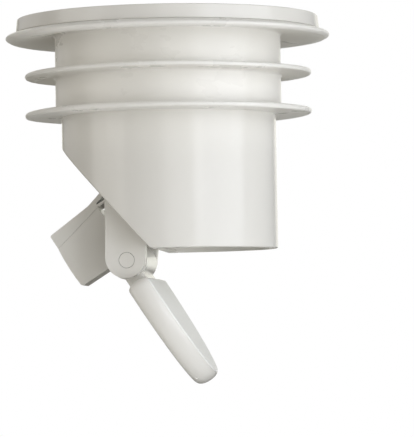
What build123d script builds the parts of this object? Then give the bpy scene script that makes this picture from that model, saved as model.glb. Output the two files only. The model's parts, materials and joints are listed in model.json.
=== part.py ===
"""Waterless odour trap insert for a floor drain: a tube with a counterweighted flap valve at its foot.

Frame: Z runs up the tube's axis. The origin is on that axis, in the plane of the lip's underside, which is
the plane that rests on the drain. The hinge lies on the -X side and its pin runs along Y. The flap is
modelled fully open, resting on its stop. Sizes are in millimetres.
"""
from build123d import *
import os
from math import cos, radians, sin, tan

# ---- driving dimensions ----
TUBE_OUTER_R = 18.7
TUBE_WALL = 1.5
TUBE_BOTTOM_Z = -36.6
CUT_ANGLE = radians(47.3)   # slanted wall, measured from the horizontal
CUT_FOOT_X = -2.1           # where the slanted wall meets the tube's bottom plane

COLLAR_TOP_Z = 3.9
COLLAR_BASE_Z = 1.5
COLLAR_TOP_R = 26.25
COLLAR_BASE_R = 26.5
COLLAR_EDGE_FILLET = 0.2
RECESS_R = 24.0             # seat for a drop-in strainer
RECESS_DEPTH = 1.2
FUNNEL_R = 20.5             # wide end of the funnel in the recess's floor
FUNNEL_DEPTH = 1.4

SLEEVE_WALL = 1.0
SLEEVE_BOTTOM_Z = -13.25
LIP_R = 28.3
LIP_SEAT_R = (26.4, 27.4)   # flat ring under the lip's edge that seals on the drain
LIP_ROOT_Z = 1.0            # inside that ring the underside is hollow and rises to the sleeve
LIP_TIP_Z = 0.65
LIP_SHOULDER = (27.6, 1.15)
FIN_R = 25.0                # seals in a 50 mm drain pipe
FINS = ((-13.25, 0.9), (-6.4, 0.8))     # underside height and thickness of each fin
FIN_EDGE_FILLET = 0.25
FIN_ROOT_FILLET = 0.4

HINGE_X = -6.6
HINGE_BELOW_TUBE = 1.9
PIN_R = 1.3
PIN_CLEARANCE = 0.06        # running clearance in the flap's knuckle
EAR_OUTER_Y = 12.5
EAR_THICKNESS = 2.0
EAR_LUG_R = 3.45
EAR_LUG_X = -6.85
EAR_LUG_Z = -38.1
EAR_FLARE = radians(6)      # lean of the ear's flap-side edge from the vertical
EAR_ROOT = 0.8              # how far the ears run into the slanted wall

OPEN_ANGLE = 57.5           # swing of the flap from shut to its stop
CLOSED_GAP = 0.05           # between the gasket and the tube's rim when shut
STOP_GAP = 0.08             # between the stop tab and the slanted wall when open

# The flap's own sizes are given with the flap shut and measured from the pin's axis.
LID_R = 18.05
LID_EDGE_X = 4.1
LID_BACK_Z = -2.3
LID_RIM_Z = 1.6
LID_PLATE_BACK_Z = -0.4
LID_RIM_WIDTH = 2.2
LID_CORNER_R = 1.2
LID_BACK_FILLET = 1.0
LID_FRONT_FILLET = 0.35
RIB_THICKNESS = 1.2
RIB_BACK_Z = -1.8
RIB_Y = (-6.0, 6.0)
GASKET_INSET = 0.6
GASKET_THICKNESS = 1.0
GASKET_EDGE_FILLET = 0.25

TAIL_HALF_WIDTH = 10.0      # knuckle and neck, between the ears
KNUCKLE_R = 3.3
NECK_BACK_Z = -2.2
NECK_FRONT_Z = 1.0
HOUSING_HALF_WIDTH = 4.5
HOUSING_TOP_Z = 0.4
HOUSING_BACK = (-1.1, -9.5)     # closed end, at the foot
HOUSING_BULGE = (-5.0, -9.65)
HOUSING_END = (-8.75, -9.4)     # open end, at the foot
HOUSING_END_LEAN = 0.229        # how fast the open end moves out towards the top
HOUSING_WALL = 1.2
HOUSING_EDGE_FILLET = 0.4
CAP_FOOT = (-11.4, -9.4)
CAP_BEND = (-12.1, -1.0)
CAP_EDGE_FILLET = 0.25
CAP_PLUG_DEPTH = 1.0
TAB_TIP_X = -13.0
TAB_THICKNESS = 0.8
TAB_ROOT_X = -11.7           # the tab's inner face where it meets the housing's top
STOP_RIB_X = (-11.5, -11.0)
FIT_GAP = 0.1               # between the housing, its cap's plug and the slug

CUT_OVERSHOOT = 1.0         # how far cutting shapes run past the surfaces they cut
TINY = 0.01                 # slack when edges and corners are picked by position

# ---- worked-out sizes ----
CAVITY_X = (STOP_RIB_X[1], -KNUCKLE_R + HOUSING_WALL / 2)
CAVITY_Z = (HOUSING_END[1] + HOUSING_WALL, HOUSING_TOP_Z - HOUSING_WALL)
CAVITY_HALF_WIDTH = HOUSING_HALF_WIDTH - HOUSING_WALL
BORE_R = TUBE_OUTER_R - TUBE_WALL
SLEEVE_OUTER_R = TUBE_OUTER_R + SLEEVE_WALL
HINGE_Z = TUBE_BOTTOM_Z - HINGE_BELOW_TUBE
EAR_INNER_Y = EAR_OUTER_Y - EAR_THICKNESS
SEAL_Z = HINGE_BELOW_TUBE - CLOSED_GAP
GASKET_BACK_Z = SEAL_Z - GASKET_THICKNESS


def from_side(half_width, outline):
    """Extrude an outline drawn in the XZ plane equally to both sides."""
    return extrude(Plane.XZ * outline, half_width, both=True)


def filled(*lines):
    """Flat face inside a closed chain of lines and arcs."""
    return make_face([edge for line in lines for edge in line.edges()])


def block(x_range, half_width, z_range):
    """Box between two x values and two z values, centred on the middle plane."""
    size = (x_range[1] - x_range[0], 2 * half_width, z_range[1] - z_range[0])
    centre = Pos(sum(x_range) / 2, 0, sum(z_range) / 2)
    return centre * Box(*size)


def across(radius, half_width):
    """Cylinder along Y through the origin."""
    return Rot(90, 0, 0) * Cylinder(radius, 2 * half_width)


def turned(*points):
    """Solid of revolution about Z from an outline of (radius, height) points."""
    return revolve(Plane.XZ * make_face(Polyline(*points, close=True)), Axis.Z)


# ---- fixed body ----
def slant_height(x):
    """Height of the slanted wall's outer face at the given x."""
    return TUBE_BOTTOM_Z + (CUT_FOOT_X - x) * tan(CUT_ANGLE)


def below_slant(inwards):
    """Everything below the slanted wall's outer plane, with that plane moved inwards."""
    reach = 4 * TUBE_OUTER_R
    lower_side = Plane(
        origin=(CUT_FOOT_X + inwards / sin(CUT_ANGLE), 0, TUBE_BOTTOM_Z),
        x_dir=(0, 1, 0),
        z_dir=(-sin(CUT_ANGLE), 0, -cos(CUT_ANGLE)),
    )
    return extrude(lower_side * Rectangle(reach, reach), reach)


def make_tube():
    """Tube and collar with a recessed inlet, closed on one side by the slanted wall."""
    shell = turned(
        (0, TUBE_BOTTOM_Z),
        (TUBE_OUTER_R, TUBE_BOTTOM_Z),
        (TUBE_OUTER_R, COLLAR_BASE_Z),
        (COLLAR_BASE_R, COLLAR_BASE_Z),
        (COLLAR_TOP_R, COLLAR_TOP_Z),
        (0, COLLAR_TOP_Z),
    )
    top_edge = shell.edges().filter_by(GeomType.CIRCLE).sort_by(Axis.Z)[-1]
    shell = fillet(top_edge, COLLAR_EDGE_FILLET)
    recess_floor_z = COLLAR_TOP_Z - RECESS_DEPTH
    water_way = turned(
        (0, TUBE_BOTTOM_Z - CUT_OVERSHOOT),
        (BORE_R, TUBE_BOTTOM_Z - CUT_OVERSHOOT),
        (BORE_R, recess_floor_z - FUNNEL_DEPTH),
        (FUNNEL_R, recess_floor_z),
        (RECESS_R, recess_floor_z),
        (RECESS_R, COLLAR_TOP_Z + CUT_OVERSHOOT),
        (0, COLLAR_TOP_Z + CUT_OVERSHOOT),
    )
    return shell - below_slant(0) - (water_way - below_slant(TUBE_WALL))


def make_ear(side):
    """One U-shaped hinge ear under the slanted wall, with the pin's hole."""
    left_x = EAR_LUG_X - EAR_LUG_R
    left_top = (left_x, slant_height(left_x) + EAR_ROOT)
    left_foot = (left_x, EAR_LUG_Z)
    lug_bottom = (EAR_LUG_X, EAR_LUG_Z - EAR_LUG_R)
    lug_end = (EAR_LUG_X + EAR_LUG_R * cos(EAR_FLARE), EAR_LUG_Z - EAR_LUG_R * sin(EAR_FLARE))
    right_top_z = slant_height(lug_end[0]) + EAR_ROOT
    right_top = (lug_end[0] + (right_top_z - lug_end[1]) * tan(EAR_FLARE), right_top_z)
    outline = filled(
        Line(left_top, left_foot),
        ThreePointArc(left_foot, lug_bottom, lug_end),
        Polyline(lug_end, right_top, left_top),
    )
    plate = Pos(0, side * (EAR_INNER_Y + EAR_THICKNESS / 2), 0) * from_side(EAR_THICKNESS / 2, outline)
    return plate - make_pin()


def make_valve_body():
    body = make_tube()
    for side in (-1, 1):
        body += make_ear(side)
    return body


def make_pin():
    return Pos(HINGE_X, 0, HINGE_Z) * across(PIN_R, EAR_OUTER_Y)


def make_sleeve():
    """Soft sleeve with its wide lip and two thin fins."""
    wall = Polyline(
        (TUBE_OUTER_R, SLEEVE_BOTTOM_Z),
        (SLEEVE_OUTER_R, SLEEVE_BOTTOM_Z),
        (SLEEVE_OUTER_R, LIP_ROOT_Z),
        (LIP_SEAT_R[0], 0),
        (LIP_SEAT_R[1], 0),
    )
    tip = ThreePointArc((LIP_SEAT_R[1], 0), (LIP_R, LIP_TIP_Z), LIP_SHOULDER)
    top = Polyline(
        LIP_SHOULDER,
        (COLLAR_BASE_R, COLLAR_BASE_Z),
        (TUBE_OUTER_R, COLLAR_BASE_Z),
        (TUBE_OUTER_R, SLEEVE_BOTTOM_Z),
    )
    profile = filled(wall, tip, top)
    fin_width = FIN_R - TUBE_OUTER_R
    for bottom_z, thickness in FINS:
        centre = Pos(TUBE_OUTER_R + fin_width / 2, bottom_z + thickness / 2)
        profile += centre * Rectangle(fin_width, thickness)
    fin_corners = profile.vertices().filter_by(lambda v: abs(v.X - FIN_R) < TINY)
    profile = fillet(fin_corners, FIN_EDGE_FILLET)
    roots = profile.vertices().filter_by(
        lambda v: abs(v.X - SLEEVE_OUTER_R) < TINY and v.Y > SLEEVE_BOTTOM_Z + TINY
    )
    profile = fillet(roots, FIN_ROOT_FILLET)
    return revolve(Plane.XZ * profile, Axis.Z)


# ---- flap, drawn shut with its pin on the Y axis ----
def lid_outline(inset, corner_r):
    """The D shape of the lid, moved inwards all round."""
    disc = Pos(-HINGE_X, 0) * Circle(LID_R - inset)
    kept_side = Pos(LID_EDGE_X + inset + LID_R, 0) * Rectangle(2 * LID_R, 3 * LID_R)
    outline = disc & kept_side
    return fillet(outline.vertices(), corner_r)


def lid_layer(inset, corner_r, bottom_z, top_z):
    return Pos(0, 0, bottom_z) * extrude(lid_outline(inset, corner_r), top_z - bottom_z)


def make_lid():
    """Rounded D-shaped rim round a thin plate, with two ribs on its back."""
    lid = lid_layer(0, LID_CORNER_R, LID_BACK_Z, LID_RIM_Z)
    lid = fillet(lid.faces().sort_by(Axis.Z)[0].edges(), LID_BACK_FILLET)
    lid = fillet(lid.faces().sort_by(Axis.Z)[-1].edges(), LID_FRONT_FILLET)
    hollow = lid_layer(LID_RIM_WIDTH, LID_CORNER_R, LID_BACK_Z - CUT_OVERSHOOT, LID_PLATE_BACK_Z)
    for y in RIB_Y:
        rib_x = (0, 2 * LID_R)
        hollow -= Pos(0, y, 0) * block(rib_x, RIB_THICKNESS / 2, (RIB_BACK_Z, LID_PLATE_BACK_Z))
    return lid - hollow


def gasket_blank():
    return lid_layer(GASKET_INSET, LID_CORNER_R - GASKET_INSET, GASKET_BACK_Z, SEAL_Z)


def housing_end_x(z):
    """The housing's open end, where the cap sits, leans out towards the top."""
    return HOUSING_END[0] - HOUSING_END_LEAN * (z - HOUSING_END[1])


def beyond_housing():
    """Everything on the cap's side of the housing's open end."""
    low_z, high_z = 2 * HOUSING_BACK[1], -HOUSING_BACK[1]
    far_x = 2 * TAB_TIP_X
    outline = Polyline(
        (housing_end_x(low_z), low_z),
        (far_x, low_z),
        (far_x, high_z),
        (housing_end_x(high_z), high_z),
        close=True,
    )
    return from_side(2 * TAIL_HALF_WIDTH, make_face(outline))


def make_housing():
    """Open-ended box on the flap's tail that holds the slug."""
    outline = filled(
        Polyline(
            HOUSING_END,
            (housing_end_x(HOUSING_TOP_Z), HOUSING_TOP_Z),
            (HOUSING_BACK[0], HOUSING_TOP_Z),
            HOUSING_BACK,
        ),
        ThreePointArc(HOUSING_BACK, HOUSING_BULGE, HOUSING_END),
    )
    box = from_side(HOUSING_HALF_WIDTH, outline)
    back_edge = box.edges().filter_by(Axis.Y).sort_by(lambda e: e.center().Z - e.center().X)[0]
    return fillet(back_edge, HOUSING_EDGE_FILLET)


def housing_cavity():
    """Room for the slug and the cap's plug, kept clear of the knuckle."""
    return block(CAVITY_X, CAVITY_HALF_WIDTH, CAVITY_Z) - across(KNUCKLE_R, TAIL_HALF_WIDTH)


def cavity_filler(gap):
    """The cavity's shape with a gap all round."""
    return block(
        (CAVITY_X[0], CAVITY_X[1] - gap), CAVITY_HALF_WIDTH - gap, (CAVITY_Z[0] + gap, CAVITY_Z[1] - gap)
    )


def make_flap():
    neck_x = (0, LID_EDGE_X + LID_RIM_WIDTH / 2)
    flap = make_lid()
    flap += block(neck_x, TAIL_HALF_WIDTH, (NECK_BACK_Z, NECK_FRONT_Z))
    flap += across(KNUCKLE_R, TAIL_HALF_WIDTH)
    flap += make_housing()
    flap -= gasket_blank() + housing_cavity()
    return flap - across(PIN_R + PIN_CLEARANCE, TAIL_HALF_WIDTH + CUT_OVERSHOOT)


def make_gasket():
    pad = gasket_blank()
    return fillet(pad.faces().sort_by(Axis.Z)[-1].edges(), GASKET_EDGE_FILLET)


def make_counterweight():
    """Steel slug that fills the housing behind the cap's plug."""
    slug = cavity_filler(FIT_GAP) - across(KNUCKLE_R + FIT_GAP, TAIL_HALF_WIDTH)
    return slug - Pos(CAP_PLUG_DEPTH + FIT_GAP, 0, 0) * beyond_housing()


def stop_height(x):
    """Height of the slanted wall above the pin in the flap's own frame, less the stop's gap."""
    tilt = radians(OPEN_ANGLE) - CUT_ANGLE
    pin_to_wall = (CUT_FOOT_X - HINGE_X) * sin(CUT_ANGLE) + HINGE_BELOW_TUBE * cos(CUT_ANGLE)
    return (pin_to_wall - STOP_GAP + x * sin(tilt)) / cos(tilt)


def make_cap():
    """End cap of the housing: a plate that runs up into a stop tab, a rib beside the tab and a plug."""
    tab_inner_x = TAB_TIP_X + TAB_THICKNESS
    outline = Polyline(
        HOUSING_END,
        CAP_FOOT,
        CAP_BEND,
        (TAB_TIP_X, stop_height(TAB_TIP_X)),
        (tab_inner_x, stop_height(tab_inner_x)),
        (TAB_ROOT_X, HOUSING_TOP_Z),
        (housing_end_x(HOUSING_TOP_Z), HOUSING_TOP_Z),
        close=True,
    )
    plate = from_side(HOUSING_HALF_WIDTH, make_face(outline))
    foot_edge = plate.edges().filter_by(Axis.Y).sort_by(lambda e: e.center().Z + e.center().X)[0]
    plate = fillet(foot_edge, CAP_EDGE_FILLET)
    rib_outline = Polyline(
        (STOP_RIB_X[0], 0),
        (STOP_RIB_X[0], stop_height(STOP_RIB_X[0])),
        (STOP_RIB_X[1], stop_height(STOP_RIB_X[1])),
        (STOP_RIB_X[1], 0),
        close=True,
    )
    rib = from_side(HOUSING_HALF_WIDTH, make_face(rib_outline))
    plug = cavity_filler(FIT_GAP) & (Pos(CAP_PLUG_DEPTH, 0, 0) * beyond_housing())
    return plate + rib + plug


def opened(piece):
    """Turn a piece of the flap from shut to fully open and put its pin in the ears."""
    return Pos(HINGE_X, 0, HINGE_Z) * Rot(0, OPEN_ANGLE, 0) * piece


def main():
    os.makedirs("parts", exist_ok=True)
    nodes = {
        "valve_body": make_valve_body(),
        "sealing_sleeve": make_sleeve(),
        "hinge_pin": make_pin(),
        "flap": opened(make_flap()),
        "flap_gasket": opened(make_gasket()),
        "counterweight": opened(make_counterweight()),
        "counterweight_cap": opened(make_cap()),
    }
    for name, piece in nodes.items():
        export_step(piece, f"parts/{name}.step")


main()
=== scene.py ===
import json
from math import acos, atan, atan2, ceil, cos, pi, radians, sin, sqrt, tan

import bmesh
import bpy
from mathutils import Matrix, Vector


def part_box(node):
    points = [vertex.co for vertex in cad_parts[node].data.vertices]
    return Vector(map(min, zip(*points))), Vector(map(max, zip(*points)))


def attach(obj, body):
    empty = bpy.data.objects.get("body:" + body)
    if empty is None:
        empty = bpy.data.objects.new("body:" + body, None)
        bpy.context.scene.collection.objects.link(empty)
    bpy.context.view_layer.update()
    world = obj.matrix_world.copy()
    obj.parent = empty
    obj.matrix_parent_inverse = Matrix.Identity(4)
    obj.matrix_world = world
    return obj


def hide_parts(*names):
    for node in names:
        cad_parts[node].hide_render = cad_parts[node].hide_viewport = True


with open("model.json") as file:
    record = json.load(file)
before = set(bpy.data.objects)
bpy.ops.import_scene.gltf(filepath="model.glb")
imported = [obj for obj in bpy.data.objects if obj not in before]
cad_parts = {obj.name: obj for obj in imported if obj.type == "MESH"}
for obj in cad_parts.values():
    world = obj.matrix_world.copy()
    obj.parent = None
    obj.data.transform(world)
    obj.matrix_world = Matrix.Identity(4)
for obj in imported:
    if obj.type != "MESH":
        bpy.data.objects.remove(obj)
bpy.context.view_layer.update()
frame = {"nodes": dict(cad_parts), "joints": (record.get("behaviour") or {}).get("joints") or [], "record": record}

MM = 0.001

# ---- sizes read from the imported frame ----
mounts = {mount["name"]: mount for mount in frame["record"]["mounts"]}
hinge = frame["joints"][0]
HINGE = Vector(hinge["pos_m"])
OPEN_ANGLE = radians(hinge["range_deg"][1])
FIN_R = mounts["pipe_seal"]["dims"]["r_mm"] * MM
RECESS_R = mounts["strainer_recess"]["dims"]["r_mm"] * MM
RECESS_DEPTH = mounts["strainer_recess"]["dims"]["length_mm"] * MM
LIP_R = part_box("sealing_sleeve")[1].x
LIP_TOP_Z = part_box("sealing_sleeve")[1].z
SLEEVE_BOTTOM_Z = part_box("sealing_sleeve")[0].z
COLLAR_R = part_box("valve_body")[1].x
COLLAR_TOP_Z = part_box("valve_body")[1].z
EAR_OUTER_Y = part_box("hinge_pin")[1].y
PIN_R = (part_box("hinge_pin")[1].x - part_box("hinge_pin")[0].x) / 2

# ---- sizes that repeat the design ----
HAIRLINE = 0.02 * MM        # keeps surfaces that touch from sharing a plane
FUNNEL_R = 20.5 * MM
FUNNEL_DEPTH = 1.4 * MM
COLLAR_DRAFT = 0.25 * MM
TUBE_BOTTOM_Z = HINGE.z + 1.9 * MM
TUBE_R = 18.7 * MM
TUBE_WALL = 1.5 * MM
BORE_R = TUBE_R - TUBE_WALL
CUT_ANGLE = radians(47.3)
CUT_FOOT_X = -2.1 * MM
SLEEVE_R = TUBE_R + 1.0 * MM
LIP_SEAT_R = (26.4 * MM, 27.4 * MM)
LIP_ROOT_Z = 1.0 * MM
LIP_TIP_Z = 0.6 * MM
LIP_SHOULDER_Z = 1.12 * MM
FINS = ((SLEEVE_BOTTOM_Z, 0.9 * MM), (-6.4 * MM, 0.8 * MM))
EAR_THICKNESS = 2.0 * MM
EAR_LUG_R = 3.45 * MM
EAR_LUG_X = -6.85 * MM
EAR_LUG_Z = -38.1 * MM
EAR_FLARE = radians(6)
EAR_ROOT = 0.8 * MM
PIN_PLAY = 0.06 * MM        # between the pin and the wall of its holes

# the flap's own sizes, with the flap shut and measured from the pin's axis
LID_R = 18.05 * MM
LID_EDGE_X = 4.1 * MM
LID_BACK_Z = -2.3 * MM
LID_RIM_Z = 1.6 * MM
LID_CORNER_R = 1.2 * MM
SEAL_Z = 1.85 * MM
GASKET_INSET = 0.6 * MM
TAIL_HALF_WIDTH = 10.0 * MM
NECK_END_X = LID_EDGE_X + 1.1 * MM
NECK_Z = (-2.2 * MM, 1.0 * MM)
RIB_Y = 6.0 * MM
RIB_X = (LID_EDGE_X + 1 * MM, 23.4 * MM)
RIB_Z = (-1.8 * MM, -0.2 * MM)
RIB_HALF_WIDTH = 0.6 * MM
KNUCKLE_R = 3.3 * MM
HOUSING_HALF_WIDTH = 4.5 * MM
HOUSING_TOP_Z = 0.4 * MM
HOUSING_END = (-8.75 * MM, -9.4 * MM)
HOUSING_END_LEAN = 0.229
HOUSING_BACK_X = -1.1 * MM
HOUSING_SAG = ((-7.0 * MM, 0.17 * MM), (-5.0 * MM, 0.25 * MM), (-3.0 * MM, 0.22 * MM))  # (x, how low)
HOUSING_BACK_SAG = 0.1 * MM
HOUSING_WALL = 1.2 * MM
CAVITY_X = (-12.0 * MM, -2.7 * MM)
CAP_FOOT_X = -11.4 * MM
CAP_BEND = (-12.1 * MM, -1.0 * MM)
CAP_BEND_R = 3.0 * MM
CAP_TOP_X = -11.7 * MM
CAP_RIB_X = (-11.5 * MM, -11.0 * MM)
CAP_PLUG_X = (-11.0 * MM, -8.2 * MM)
CAP_PLUG_INSET = 1.3 * MM
TAB_TIP_X = -13.0 * MM
TAB_THICKNESS = 0.8 * MM
STOP_GAP = 0.1 * MM

# ---- how fine the meshes are ----
ROUND_STEPS = 4             # steps in each small rounding
BEVEL_STEPS = 3             # steps in each rounded edge
TURN_STEPS = 192            # steps round the tube
SLEEVE_STEPS = 256          # steps round the sleeve
SHARP_ANGLE = radians(38)   # edges that turn by more than this stay sharp

SLANT_NORMAL = Vector((-sin(CUT_ANGLE), 0, -cos(CUT_ANGLE)))


# =====================================================================
# mesh tools
# =====================================================================
def rounded(corners, steps=ROUND_STEPS):
    """Closed outline of (a, b, radius) corners with each corner turned into an arc."""
    points = []
    count = len(corners)
    for i, (a, b, radius) in enumerate(corners):
        here = Vector((a, b))
        if radius <= 0:
            points.append(here)
            continue
        before = Vector(corners[i - 1][:2]) - here
        after = Vector(corners[(i + 1) % count][:2]) - here
        before.normalize()
        after.normalize()
        opening = before.angle(after)
        reach = radius / tan(opening / 2)
        centre = here + (before + after).normalized() * radius / sin(opening / 2)
        start = here + before * reach - centre
        end = here + after * reach - centre
        for k in range(steps + 1):
            points.append(centre + start.slerp(end, k / steps) * radius)
    return points


def face_ring_pair(bm, ring_a, ring_b):
    """Quads between two closed rings of the same length."""
    count = len(ring_a)
    for i in range(count):
        j = (i + 1) % count
        bm.faces.new((ring_a[i], ring_a[j], ring_b[j], ring_b[i]))


def turned(profile, angles, wave=None):
    """Closed solid of revolution about Z. profile is a closed outline of (radius, z) points."""
    bm = bmesh.new()
    rings = []
    for radius, z in profile:
        if radius < 1e-9:
            rings.append([bm.verts.new((0, 0, z))])
            continue
        ring = []
        for angle in angles:
            lift = wave(angle, radius, z) if wave else 0
            ring.append(bm.verts.new((radius * cos(angle), radius * sin(angle), z + lift)))
        rings.append(ring)
    for ring_a, ring_b in zip(rings, rings[1:] + rings[:1]):
        if len(ring_a) == 1 and len(ring_b) == 1:
            continue
        if len(ring_a) == 1 or len(ring_b) == 1:
            tip, ring = (ring_a[0], ring_b) if len(ring_a) == 1 else (ring_b[0], ring_a)
            for i in range(len(ring)):
                bm.faces.new((tip, ring[i], ring[(i + 1) % len(ring)]))
        else:
            face_ring_pair(bm, ring_a, ring_b)
    bmesh.ops.recalc_face_normals(bm, faces=bm.faces)
    return bm


def even_angles(count):
    return [2 * pi * k / count for k in range(count)]


def chord_angles(radius, chord_x, count):
    """Angles round a circle with one exactly at each end of the chord x = chord_x."""
    corner = acos(chord_x / radius)
    right = max(3, ceil(count * corner / pi))
    left = max(3, ceil(count * (pi - corner) / pi))
    angles = [-corner + 2 * corner * k / right for k in range(right)]
    angles += [corner + 2 * (pi - corner) * k / left for k in range(left)]
    return angles


def round_edges(bm, edges, radius, clamp):
    bmesh.ops.bevel(
        bm,
        geom=edges,
        offset=radius,
        segments=BEVEL_STEPS,
        profile=0.5,
        affect="EDGES",
        clamp_overlap=clamp,
    )


def prism(outline, half_width, edge_r=0.0, offset_y=0.0):
    """Solid with a closed (x, z) outline, extruded along Y, with its flat faces' edges rounded."""
    bm = bmesh.new()
    low = [bm.verts.new((p[0], offset_y - half_width, p[1])) for p in outline]
    high = [bm.verts.new((p[0], offset_y + half_width, p[1])) for p in outline]
    caps = [bm.faces.new(low), bm.faces.new(high)]
    face_ring_pair(bm, low, high)
    if edge_r:
        rim = [edge for face in caps for edge in face.edges]
        round_edges(bm, rim, edge_r, True)
    bmesh.ops.recalc_face_normals(bm, faces=bm.faces)
    return bm


def box_prism(x_range, z_range, half_width, edge_r=0.0, corner_r=0.0, offset_y=0.0):
    """Block between two x and two z, with corner_r seen from the side and edge_r on its flat faces."""
    corners = [
        (x_range[0], z_range[0], corner_r),
        (x_range[1], z_range[0], corner_r),
        (x_range[1], z_range[1], corner_r),
        (x_range[0], z_range[1], corner_r),
    ]
    return prism(rounded(corners, BEVEL_STEPS), half_width, edge_r, offset_y)


def circle_outline(radius, count=48, centre=(0.0, 0.0)):
    return [
        Vector((centre[0] + radius * cos(a), centre[1] + radius * sin(a))) for a in even_angles(count)
    ]


def to_object(bm, name):
    mesh = bpy.data.meshes.new(name)
    bm.to_mesh(mesh)
    bm.free()
    obj = bpy.data.objects.new(name, mesh)
    bpy.context.scene.collection.objects.link(obj)
    return obj


def combine(base, tool_bm, operation):
    """Boolean of a piece with a mesh that is used up."""
    tool = to_object(tool_bm, "tool")
    modifier = base.modifiers.new(operation, "BOOLEAN")
    modifier.operation = operation
    modifier.solver = "EXACT"
    modifier.object = tool
    bake_modifiers(base)
    bpy.data.objects.remove(tool)


def bake_modifiers(obj):
    graph = bpy.context.evaluated_depsgraph_get()
    graph.update()
    mesh = bpy.data.meshes.new_from_object(obj.evaluated_get(graph))
    old = obj.data
    obj.modifiers.clear()
    obj.data = mesh
    bpy.data.meshes.remove(old)
    mesh.name = obj.name


def finish_piece(obj, material, body, node):
    """Shading, material and place in the frame; the piece stands in for the named CAD node."""
    obj.data.materials.clear()
    obj.data.materials.append(material)
    obj.data.shade_smooth()
    obj.data.set_sharp_from_angle(angle=SHARP_ANGLE)
    weighted = obj.modifiers.new("even_normals", "WEIGHTED_NORMAL")
    weighted.mode = "FACE_AREA"
    weighted.keep_sharp = True
    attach(obj, body)
    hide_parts(node)


# =====================================================================
# materials
# =====================================================================
class Nodes:
    """Short way to build a node material round one Principled shader."""

    def __init__(self, name):
        self.material = bpy.data.materials.new(name)
        self.material.use_nodes = True
        self.tree = self.material.node_tree
        self.shader = next(n for n in self.tree.nodes if n.type == "BSDF_PRINCIPLED")
        self.coords = self.add("ShaderNodeTexCoord").outputs["Object"]

    def add(self, kind, **settings):
        node = self.tree.nodes.new(kind)
        for key, value in settings.items():
            setattr(node, key, value)
        return node

    def link(self, source, target):
        self.tree.links.new(source, target)

    def noise(self, per_mm, detail=3.0, rough=0.5, stretch=(1, 1, 1)):
        """Noise with its scale given in waves per millimetre."""
        mapping = self.add("ShaderNodeMapping")
        mapping.inputs["Scale"].default_value = stretch
        self.link(self.coords, mapping.inputs["Vector"])
        node = self.add("ShaderNodeTexNoise")
        node.inputs["Scale"].default_value = per_mm / MM
        node.inputs["Detail"].default_value = detail
        node.inputs["Roughness"].default_value = rough
        self.link(mapping.outputs["Vector"], node.inputs["Vector"])
        return node.outputs["Fac"]

    def remap(self, value, low, high, from_low=0.3, from_high=0.7):
        node = self.add("ShaderNodeMapRange")
        node.inputs["From Min"].default_value = from_low
        node.inputs["From Max"].default_value = from_high
        node.inputs["To Min"].default_value = low
        node.inputs["To Max"].default_value = high
        self.link(value, node.inputs["Value"])
        return node.outputs["Result"]

    def mix(self, factor, colour_a, colour_b):
        """Blend of two colours, which are inputs 6 and 7 and output 2 of a colour mix node."""
        node = self.add("ShaderNodeMix", data_type="RGBA")
        self.link(factor, node.inputs["Factor"])
        for socket, colour in zip(node.inputs[6:8], (colour_a, colour_b)):
            socket.default_value = (*colour, 1)
        return node.outputs[2]

    def plus(self, a, b):
        node = self.add("ShaderNodeMath", operation="ADD")
        self.link(a, node.inputs[0])
        self.link(b, node.inputs[1])
        return node.outputs[0]

    def bump(self, *layers):
        """Stack of (height, distance in mm) bumps."""
        normal = None
        for height, distance in layers:
            node = self.add("ShaderNodeBump")
            node.inputs["Strength"].default_value = 1.0
            node.inputs["Distance"].default_value = distance * MM
            self.link(height, node.inputs["Height"])
            if normal:
                self.link(normal, node.inputs["Normal"])
            normal = node.outputs["Normal"]
        self.link(normal, self.shader.inputs["Normal"])


PLASTIC_IOR = 1.49
FLOW_TO_GRAIN = 8           # the flow marks are this much deeper than the grain


def plastic(name, colour, shade, roughness, bump_mm):
    """Moulded plastic: mottled gloss, faint flow marks, fine surface texture and slightly dulled patches."""
    n = Nodes(name)
    clouds = n.noise(0.07, detail=4.0)
    flow = n.noise(0.10, detail=2.0, stretch=(1, 1, 0.25))
    grain = n.noise(1.6, detail=2.0, rough=0.5)
    scuffs = n.noise(0.3, detail=3.0, rough=0.5, stretch=(1, 1, 2.0))
    tint = n.mix(n.remap(clouds, 0.0, 1.0), colour, shade)
    n.link(tint, n.shader.inputs["Base Color"])
    soft = n.remap(clouds, roughness - 0.02, roughness + 0.03)
    rubbed = n.remap(scuffs, 0.0, 0.03, 0.4, 0.8)
    n.link(n.plus(soft, rubbed), n.shader.inputs["Roughness"])
    n.bump((flow, bump_mm * FLOW_TO_GRAIN), (grain, bump_mm))
    n.shader.inputs["IOR"].default_value = PLASTIC_IOR
    return n.material


def steel():
    n = Nodes("sawn_steel")
    brushed = n.noise(1.2, detail=4.0, stretch=(0.15, 1, 1))
    spots = n.noise(0.6, detail=5.0)
    tint = n.mix(n.remap(spots, 0.0, 1.0), (0.42, 0.42, 0.43), (0.30, 0.29, 0.28))
    n.link(tint, n.shader.inputs["Base Color"])
    n.link(n.remap(brushed, 0.28, 0.5), n.shader.inputs["Roughness"])
    n.shader.inputs["Metallic"].default_value = 1.0
    n.bump((brushed, 0.01))
    return n.material


# =====================================================================
# the fixed body
# =====================================================================
def slant_plane_point(inwards):
    return Vector((CUT_FOOT_X + inwards / sin(CUT_ANGLE), 0, TUBE_BOTTOM_Z))


def cut_by_slant(bm, inwards):
    """Cut away what lies below the slanted plane and close the cut."""
    point = slant_plane_point(inwards)
    cut = bmesh.ops.bisect_plane(
        bm,
        geom=bm.verts[:] + bm.edges[:] + bm.faces[:],
        dist=1e-7,
        plane_co=point,
        plane_no=SLANT_NORMAL,
        clear_outer=True,
    )
    rim = [e for e in cut["geom_cut"] if isinstance(e, bmesh.types.BMEdge)]
    bmesh.ops.contextual_create(bm, geom=rim)
    bmesh.ops.recalc_face_normals(bm, faces=bm.faces)


MANY_SIDES = 30             # only the slanted and the bottom face have more sides than this


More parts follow.
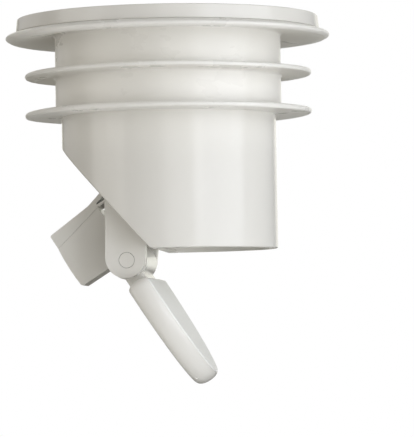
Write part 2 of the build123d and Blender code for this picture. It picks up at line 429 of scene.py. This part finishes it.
def make_body_shell():
    """Collar and tube as one closed solid, cut by the slanted plane, with rounded outer edges."""
    profile = rounded(
        [
            (0, TUBE_BOTTOM_Z, 0),
            (TUBE_R, TUBE_BOTTOM_Z, 0),
            (TUBE_R, 0, 0),
            (TUBE_R, LIP_TOP_Z, 0),
            (COLLAR_R, LIP_TOP_Z, 0.1 * MM),
            (COLLAR_R - COLLAR_DRAFT, COLLAR_TOP_Z, 0.2 * MM),
            (0, COLLAR_TOP_Z, 0),
        ]
    )
    bm = turned(profile, chord_angles(TUBE_R, CUT_FOOT_X, TURN_STEPS))
    cut_by_slant(bm, 0)
    bottom = [f for f in bm.faces if f.calc_center_median().z < TUBE_BOTTOM_Z + 1e-6]
    bmesh.ops.dissolve_faces(bm, faces=bottom)
    flats = [f for f in bm.faces if len(f.verts) > MANY_SIDES]
    low_rim = [e for f in flats for e in f.edges if f.calc_center_median().z < 0]
    round_edges(bm, list(dict.fromkeys(low_rim)), 0.3 * MM, False)
    return to_object(bm, "body_shell")


def make_water_way():
    """The space inside the tube: recessed inlet, funnel and bore down to the slanted wall."""
    floor_z = COLLAR_TOP_Z - RECESS_DEPTH
    profile = rounded(
        [
            (0, TUBE_BOTTOM_Z - 2 * MM, 0),
            (BORE_R, TUBE_BOTTOM_Z - 2 * MM, 0),
            (BORE_R, floor_z - FUNNEL_DEPTH, 0.9 * MM),
            (FUNNEL_R, floor_z, 0.4 * MM),
            (RECESS_R, floor_z, 0.2 * MM),
            (RECESS_R, COLLAR_TOP_Z, 0),
            (RECESS_R, COLLAR_TOP_Z + 1 * MM, 0),
            (0, COLLAR_TOP_Z + 1 * MM, 0),
        ]
    )
    inner_foot = slant_plane_point(TUBE_WALL).x
    bm = turned(profile, chord_angles(BORE_R, inner_foot, TURN_STEPS))
    cut_by_slant(bm, TUBE_WALL)
    return bm


def slant_height(x):
    return TUBE_BOTTOM_Z + (CUT_FOOT_X - x) * tan(CUT_ANGLE)


def ear_outline():
    """Round lug at the pin, straight on the left and flared on the right, up into the slanted wall."""
    left_x = EAR_LUG_X - EAR_LUG_R
    steps = 28
    arc = []
    for k in range(steps + 1):
        angle = pi + (pi - EAR_FLARE) * k / steps
        arc.append(Vector((EAR_LUG_X + EAR_LUG_R * cos(angle), EAR_LUG_Z + EAR_LUG_R * sin(angle))))
    top_z = slant_height(arc[-1].x) + EAR_ROOT
    right_top = Vector((arc[-1].x + (top_z - arc[-1].y) * tan(EAR_FLARE), top_z))
    return [Vector((left_x, slant_height(left_x) + EAR_ROOT)), *arc, right_top]


def make_body():
    body = make_body_shell()
    combine(body, make_water_way(), "DIFFERENCE")
    middle = EAR_OUTER_Y - EAR_THICKNESS / 2
    for side in (-1, 1):
        ear = prism(ear_outline(), EAR_THICKNESS / 2, 0.25 * MM, offset_y=side * middle)
        combine(body, ear, "UNION")
    hole = prism(circle_outline(PIN_R + PIN_PLAY, 48, (HINGE.x, HINGE.z)), EAR_OUTER_Y + 1 * MM)
    combine(body, hole, "DIFFERENCE")
    return body


def fin_sag(angle, radius, z):
    """How far a soft fin waves up or down, growing towards its tip; the lip above stays level."""
    if z > -1 * MM:
        return 0.0
    reach = max(0.0, (radius - SLEEVE_R) / (FIN_R - SLEEVE_R))
    sag = 0.09 * sin(angle + 2.1) + 0.05 * sin(3 * angle + z * 900) + 0.03 * sin(5 * angle - z * 1500)
    return reach * reach * sag * MM


def make_sleeve():
    """Soft sleeve: lip and fins with rounded tips and filleted roots."""
    inner = TUBE_R + HAIRLINE
    lower, upper = FINS
    corners = [
        (inner, SLEEVE_BOTTOM_Z, 0.05 * MM),
        (FIN_R, lower[0], 0.4 * MM),
        (FIN_R, lower[0] + lower[1], 0.4 * MM),
        (SLEEVE_R, lower[0] + lower[1], 0.5 * MM),
        (SLEEVE_R, upper[0], 0.5 * MM),
        (FIN_R, upper[0], 0.36 * MM),
        (FIN_R, upper[0] + upper[1], 0.36 * MM),
        (SLEEVE_R, upper[0] + upper[1], 0.5 * MM),
        (SLEEVE_R, LIP_ROOT_Z, 0.5 * MM),
        (LIP_SEAT_R[0], 0, 0.3 * MM),
        (LIP_SEAT_R[1] + 0.15 * MM, 0, 0.3 * MM),
        (LIP_R + 0.4 * MM, LIP_TIP_Z, 0.35 * MM),
        (LIP_R - 0.7 * MM, LIP_SHOULDER_Z, 0.3 * MM),
        (COLLAR_R - 0.1 * MM, LIP_TOP_Z - HAIRLINE, 0.05 * MM),
        (inner, LIP_TOP_Z - HAIRLINE, 0.02 * MM),
    ]
    return to_object(turned(rounded(corners), even_angles(SLEEVE_STEPS), fin_sag), "sleeve_skin")


def make_pin():
    pin = prism(circle_outline(PIN_R, 48, (HINGE.x, HINGE.z)), EAR_OUTER_Y - 0.01 * MM, 0.02 * MM)
    return to_object(pin, "pin")


# =====================================================================
# the flap, drawn shut with its pin on the Y axis
# =====================================================================
def lid_ring(inset, corner_r, arc_steps=96, corner_steps=6, edge_steps=12):
    """The lid's D shape, moved inwards, as (x, y) points. Rings of any inset match point for point."""
    centre_x = -HINGE.x
    radius = LID_R - inset
    edge_x = LID_EDGE_X + inset
    corner_r = max(corner_r - inset, 0.25 * MM)
    corner_x = edge_x + corner_r
    reach = radius - corner_r
    corner_y = sqrt(reach * reach - (corner_x - centre_x) ** 2)
    start = atan2(corner_y, corner_x - centre_x)
    points = []
    for k in range(arc_steps + 1):
        angle = -start + 2 * start * k / arc_steps
        points.append(Vector((centre_x + radius * cos(angle), radius * sin(angle))))
    for k in range(1, corner_steps + 1):
        angle = start + (pi - start) * k / corner_steps
        points.append(Vector((corner_x + corner_r * cos(angle), corner_y + corner_r * sin(angle))))
    for k in range(1, edge_steps):
        points.append(Vector((edge_x, corner_y * (1 - 2 * k / edge_steps))))
    for k in range(corner_steps):
        angle = pi + (pi - start) * k / corner_steps
        points.append(Vector((corner_x + corner_r * cos(angle), -corner_y + corner_r * sin(angle))))
    return points


def lid_loft(layers, corner_r=LID_CORNER_R):
    """Closed solid through D-shaped rings given as (inset, z)."""
    bm = bmesh.new()
    rings = [[bm.verts.new((p.x, p.y, z)) for p in lid_ring(inset, corner_r)] for inset, z in layers]
    for ring_a, ring_b in zip(rings, rings[1:]):
        face_ring_pair(bm, ring_a, ring_b)
    bm.faces.new(rings[0])
    bm.faces.new(rings[-1])
    bmesh.ops.recalc_face_normals(bm, faces=bm.faces)
    return bm


def make_lid():
    """Lid with a full round rim, a seat for the gasket in front and a hollow back."""
    bulge_z = -0.3 * MM
    back_width = 1.1 * MM
    seat = GASKET_INSET + HAIRLINE
    layers = [(seat, SEAL_Z - 1.0 * MM), (seat, LID_RIM_Z - 0.05 * MM)]
    for k in range(1, 9):
        angle = pi / 2 * k / 8
        layers.append((GASKET_INSET * (1 - sin(angle)), bulge_z + (LID_RIM_Z - bulge_z) * cos(angle)))
    for k in range(1, 11):
        angle = pi / 2 * k / 10
        layers.append((back_width * (1 - cos(angle)), bulge_z + (LID_BACK_Z - bulge_z) * sin(angle)))
    layers += [
        (1.9 * MM, LID_BACK_Z),
        (2.15 * MM, LID_BACK_Z + 0.25 * MM),
        (2.3 * MM, -0.9 * MM),
        (2.8 * MM, -0.4 * MM),
    ]
    return lid_loft(layers)


def housing_end_x(z):
    """The housing's open end, which leans."""
    return HOUSING_END[0] - HOUSING_END_LEAN * (z - HOUSING_END[1])


def make_flap():
    """Lid with ribs on its back, neck, hollow housing and the knuckle round the pin."""
    flap = to_object(make_lid(), "flap_lid")
    for y in (-RIB_Y, RIB_Y):
        rib = box_prism(RIB_X, RIB_Z, RIB_HALF_WIDTH, 0.2 * MM, 0.2 * MM, y)
        combine(flap, rib, "UNION")
    neck = box_prism((0, NECK_END_X), NECK_Z, TAIL_HALF_WIDTH - 0.1 * MM, 0.5 * MM)
    combine(flap, neck, "UNION")
    foot_z = HOUSING_END[1]
    housing = prism(
        rounded(
            [
                (housing_end_x(HOUSING_TOP_Z), HOUSING_TOP_Z, 0.1 * MM),
                (HOUSING_END[0], foot_z, 0.1 * MM),
                *[(x, foot_z - sag, 0) for x, sag in HOUSING_SAG],
                (HOUSING_BACK_X, foot_z - HOUSING_BACK_SAG, 0.4 * MM),
                (HOUSING_BACK_X, HOUSING_TOP_Z, 0.1 * MM),
            ]
        ),
        HOUSING_HALF_WIDTH,
        0.08 * MM,
    )
    combine(flap, housing, "UNION")
    cavity_z = (foot_z + HOUSING_WALL, HOUSING_TOP_Z - HOUSING_WALL)
    cavity = box_prism(CAVITY_X, cavity_z, HOUSING_HALF_WIDTH - HOUSING_WALL)
    combine(flap, cavity, "DIFFERENCE")
    knuckle = prism(circle_outline(KNUCKLE_R, 64), TAIL_HALF_WIDTH, 0.3 * MM)
    combine(flap, knuckle, "UNION")
    bore = prism(circle_outline(PIN_R + PIN_PLAY), TAIL_HALF_WIDTH + 1 * MM)
    combine(flap, bore, "DIFFERENCE")
    return flap


def make_gasket():
    """Soft pad with a rounded edge and a slightly crowned face."""
    edge = GASKET_INSET + 0.05 * MM
    round_r = 0.22 * MM
    layers = [(edge, SEAL_Z - 0.95 * MM)]
    for k in range(5):
        angle = pi / 2 * k / 4
        layers.append((edge + round_r * (1 - cos(angle)), SEAL_Z - round_r * (1 - sin(angle)) - 0.03 * MM))
    layers += [(edge + 1.0 * MM, SEAL_Z - 0.01 * MM), (edge + 4 * MM, SEAL_Z)]
    return to_object(lid_loft(layers), "gasket_pad")


def stop_height(x):
    """How far up the tab may reach at x before the open flap brings it to the slanted wall."""
    tilt = OPEN_ANGLE - CUT_ANGLE
    pin_to_wall = (CUT_FOOT_X - HINGE.x) * sin(CUT_ANGLE) + (TUBE_BOTTOM_Z - HINGE.z) * cos(CUT_ANGLE)
    return (pin_to_wall - STOP_GAP + x * sin(tilt)) / cos(tilt)


def make_cap():
    """End cap: a plate that runs up into the stop tab, a rib beside the tab and a plug."""
    foot_z = HOUSING_END[1]
    inner_x = TAB_TIP_X + TAB_THICKNESS
    plate = prism(
        rounded(
            [
                (HOUSING_END[0] - HAIRLINE, foot_z, 0.1 * MM),
                (CAP_FOOT_X, foot_z, 0.35 * MM),
                (*CAP_BEND, CAP_BEND_R),
                (TAB_TIP_X, stop_height(TAB_TIP_X), 0.15 * MM),
                (inner_x, stop_height(inner_x), 0.15 * MM),
                (CAP_TOP_X, HOUSING_TOP_Z, 0.1 * MM),
                (housing_end_x(HOUSING_TOP_Z) - HAIRLINE, HOUSING_TOP_Z, 0.05 * MM),
            ]
        ),
        HOUSING_HALF_WIDTH,
        0.05 * MM,
    )
    cap = to_object(plate, "end_cap")
    left, right = CAP_RIB_X
    rib_outline = [
        Vector((left, 0)),
        Vector((left, stop_height(left))),
        Vector((right, stop_height(right))),
        Vector((right, 0)),
    ]
    combine(cap, prism(rib_outline, HOUSING_HALF_WIDTH - HAIRLINE, 0.12 * MM), "UNION")
    plug_z = (foot_z + CAP_PLUG_INSET, HOUSING_TOP_Z - CAP_PLUG_INSET)
    plug = box_prism(CAP_PLUG_X, plug_z, HOUSING_HALF_WIDTH - CAP_PLUG_INSET)
    combine(cap, plug, "UNION")
    return cap


def open_up(obj):
    """Turn a piece of the flap from shut to open and put its pin in the ears."""
    place = Matrix.Translation(HINGE) @ Matrix.Rotation(OPEN_ANGLE, 4, "Y")
    obj.data.transform(place)
    return obj


# =====================================================================
# stage
# =====================================================================
PICTURE_HEIGHT = 437        # the picture is 414 wide
FOCAL_LENGTH = 3200         # in the picture's own units
SENSOR = 36.0
LENS = SENSOR * FOCAL_LENGTH / PICTURE_HEIGHT
CAMERA_DISTANCE = 0.558
CAMERA_AZIMUTH = radians(4.6)
CAMERA_Z = TUBE_BOTTOM_Z - 14.65 * MM
CAMERA_TURN = atan(36.6 / FOCAL_LENGTH)     # the object stands left of the picture's middle
CAMERA_PITCH = radians(2.06)
CAMERA_ROLL = radians(0.95)

LIGHTS_AIM_Z = -22 * MM
FLOOR_Z = -0.45
FLOOR_HALF_SIZE = 0.6
WHITE = (1.0, 1.0, 1.0)
SKY_LIGHT = (0.068, 0.062, 0.052)
GROUND_LIGHT = (0.055, 0.05, 0.042)
HORIZON_BLEND = 0.25

# name, azimuth, elevation, distance in m, size in m, power in W, colour
LIGHTS = (
    ("key", 60, 8, 1.0, (1.13, 0.9), 6.3, (0.97, 1.0, 1.07)),
    ("key_low", 56, -22, 1.0, (1.13, 0.7), 3.8, (0.99, 1.0, 1.02)),
    ("left", -65, 0, 1.2, (0.9, 1.4), 5.5, (1.03, 1.0, 0.96)),
    ("front", 20, 0, 1.4, (1.1, 1.2), 4.2, (1.0, 1.0, 0.98)),
    ("back", 180, 18.5, 1.5, (1.2, 1.2), 4.4, (1.0, 1.0, 0.9)),
    ("rear", 230, 25, 1.5, (1.2, 1.2), 2.4, WHITE),
    ("top", 10, 80, 1.3, (1.2, 1.2), 3.4, WHITE),
)


def aim(obj, place, target, roll=0.0):
    direction = (target - place).normalized()
    turn = direction.to_track_quat("-Z", "Y").to_matrix().to_4x4()
    obj.matrix_world = Matrix.Translation(place) @ turn @ Matrix.Rotation(roll, 4, "Z")


def make_camera():
    data = bpy.data.cameras.new("camera")
    data.lens = LENS
    data.sensor_width = SENSOR
    data.clip_start = 0.01
    data.clip_end = 50
    camera = bpy.data.objects.new("camera", data)
    bpy.context.scene.collection.objects.link(camera)
    place = Vector((sin(CAMERA_AZIMUTH), -cos(CAMERA_AZIMUTH), 0)) * CAMERA_DISTANCE
    place.z = CAMERA_Z
    heading = CAMERA_AZIMUTH - CAMERA_TURN
    look = Vector((-sin(heading) * cos(CAMERA_PITCH), cos(heading) * cos(CAMERA_PITCH), sin(CAMERA_PITCH)))
    aim(camera, place, place + look, -CAMERA_ROLL)
    bpy.context.scene.camera = camera


def area_light(name, azimuth, elevation, distance, size, power, colour):
    """Softbox that faces the object. Azimuth 0 is at the front, and it grows towards the right."""
    data = bpy.data.lights.new(name, "AREA")
    data.shape = "RECTANGLE"
    data.size, data.size_y = size
    data.energy = power
    data.color = colour
    light = bpy.data.objects.new(name, data)
    light.visible_camera = False
    bpy.context.scene.collection.objects.link(light)
    turn = radians(azimuth)
    rise = radians(elevation)
    target = Vector((0, 0, LIGHTS_AIM_Z))
    outwards = Vector((sin(turn) * cos(rise), -cos(turn) * cos(rise), sin(rise)))
    aim(light, target + outwards * distance, target)


def make_world():
    """White surroundings; what they give as light is dimmer than what is seen, and dimmest from below."""
    world = bpy.data.worlds.new("studio")
    bpy.context.scene.world = world
    world.use_nodes = True
    tree = world.node_tree
    tree.nodes.clear()
    seen = tree.nodes.new("ShaderNodeBackground")
    seen.inputs["Color"].default_value = (*WHITE, 1)
    lit = tree.nodes.new("ShaderNodeBackground")
    coords = tree.nodes.new("ShaderNodeTexCoord")
    split = tree.nodes.new("ShaderNodeSeparateXYZ")
    height = tree.nodes.new("ShaderNodeMapRange")
    height.inputs["From Min"].default_value = -HORIZON_BLEND
    height.inputs["From Max"].default_value = HORIZON_BLEND
    shade = tree.nodes.new("ShaderNodeMix")
    shade.data_type = "RGBA"
    shade.inputs[6].default_value = (*GROUND_LIGHT, 1)
    shade.inputs[7].default_value = (*SKY_LIGHT, 1)
    tree.links.new(coords.outputs["Generated"], split.inputs[0])
    tree.links.new(split.outputs["Z"], height.inputs["Value"])
    tree.links.new(height.outputs["Result"], shade.inputs["Factor"])
    tree.links.new(shade.outputs[2], lit.inputs["Color"])
    path = tree.nodes.new("ShaderNodeLightPath")
    mix = tree.nodes.new("ShaderNodeMixShader")
    out = tree.nodes.new("ShaderNodeOutputWorld")
    tree.links.new(path.outputs["Is Camera Ray"], mix.inputs[0])
    tree.links.new(lit.outputs[0], mix.inputs[1])
    tree.links.new(seen.outputs[0], mix.inputs[2])
    tree.links.new(mix.outputs[0], out.inputs[0])


def make_floor():
    bm = bmesh.new()
    bmesh.ops.create_grid(bm, x_segments=8, y_segments=8, size=FLOOR_HALF_SIZE)
    for vert in bm.verts:
        vert.co.z = FLOOR_Z
    floor = to_object(bm, "floor")
    n = Nodes("floor_paper")
    paper = n.noise(0.02, detail=5.0)
    tint = n.mix(n.remap(paper, 0.0, 1.0), (0.86, 0.86, 0.85), (0.88, 0.88, 0.87))
    n.link(tint, n.shader.inputs["Base Color"])
    n.shader.inputs["Roughness"].default_value = 0.9
    floor.data.materials.append(n.material)


def main():
    bpy.context.scene.view_settings.view_transform = "Standard"
    white = plastic("moulded_white", (0.795, 0.78, 0.735), (0.775, 0.76, 0.71), 0.17, 0.003)
    soft = plastic("soft_white", (0.87, 0.855, 0.81), (0.855, 0.84, 0.79), 0.28, 0.004)
    pad = plastic("silicone_pad", (0.85, 0.85, 0.825), (0.83, 0.83, 0.80), 0.42, 0.004)

    finish_piece(make_body(), white, "body", "valve_body")
    finish_piece(make_sleeve(), soft, "body", "sealing_sleeve")
    finish_piece(make_pin(), white, "body", "hinge_pin")
    finish_piece(open_up(make_flap()), white, "flap", "flap")
    finish_piece(open_up(make_gasket()), pad, "flap", "flap_gasket")
    finish_piece(open_up(make_cap()), white, "flap", "counterweight_cap")
    slug = frame["nodes"]["counterweight"]
    slug.data.materials.clear()
    slug.data.materials.append(steel())

    make_floor()
    make_camera()
    make_world()
    for light in LIGHTS:
        area_light(*light)


main()
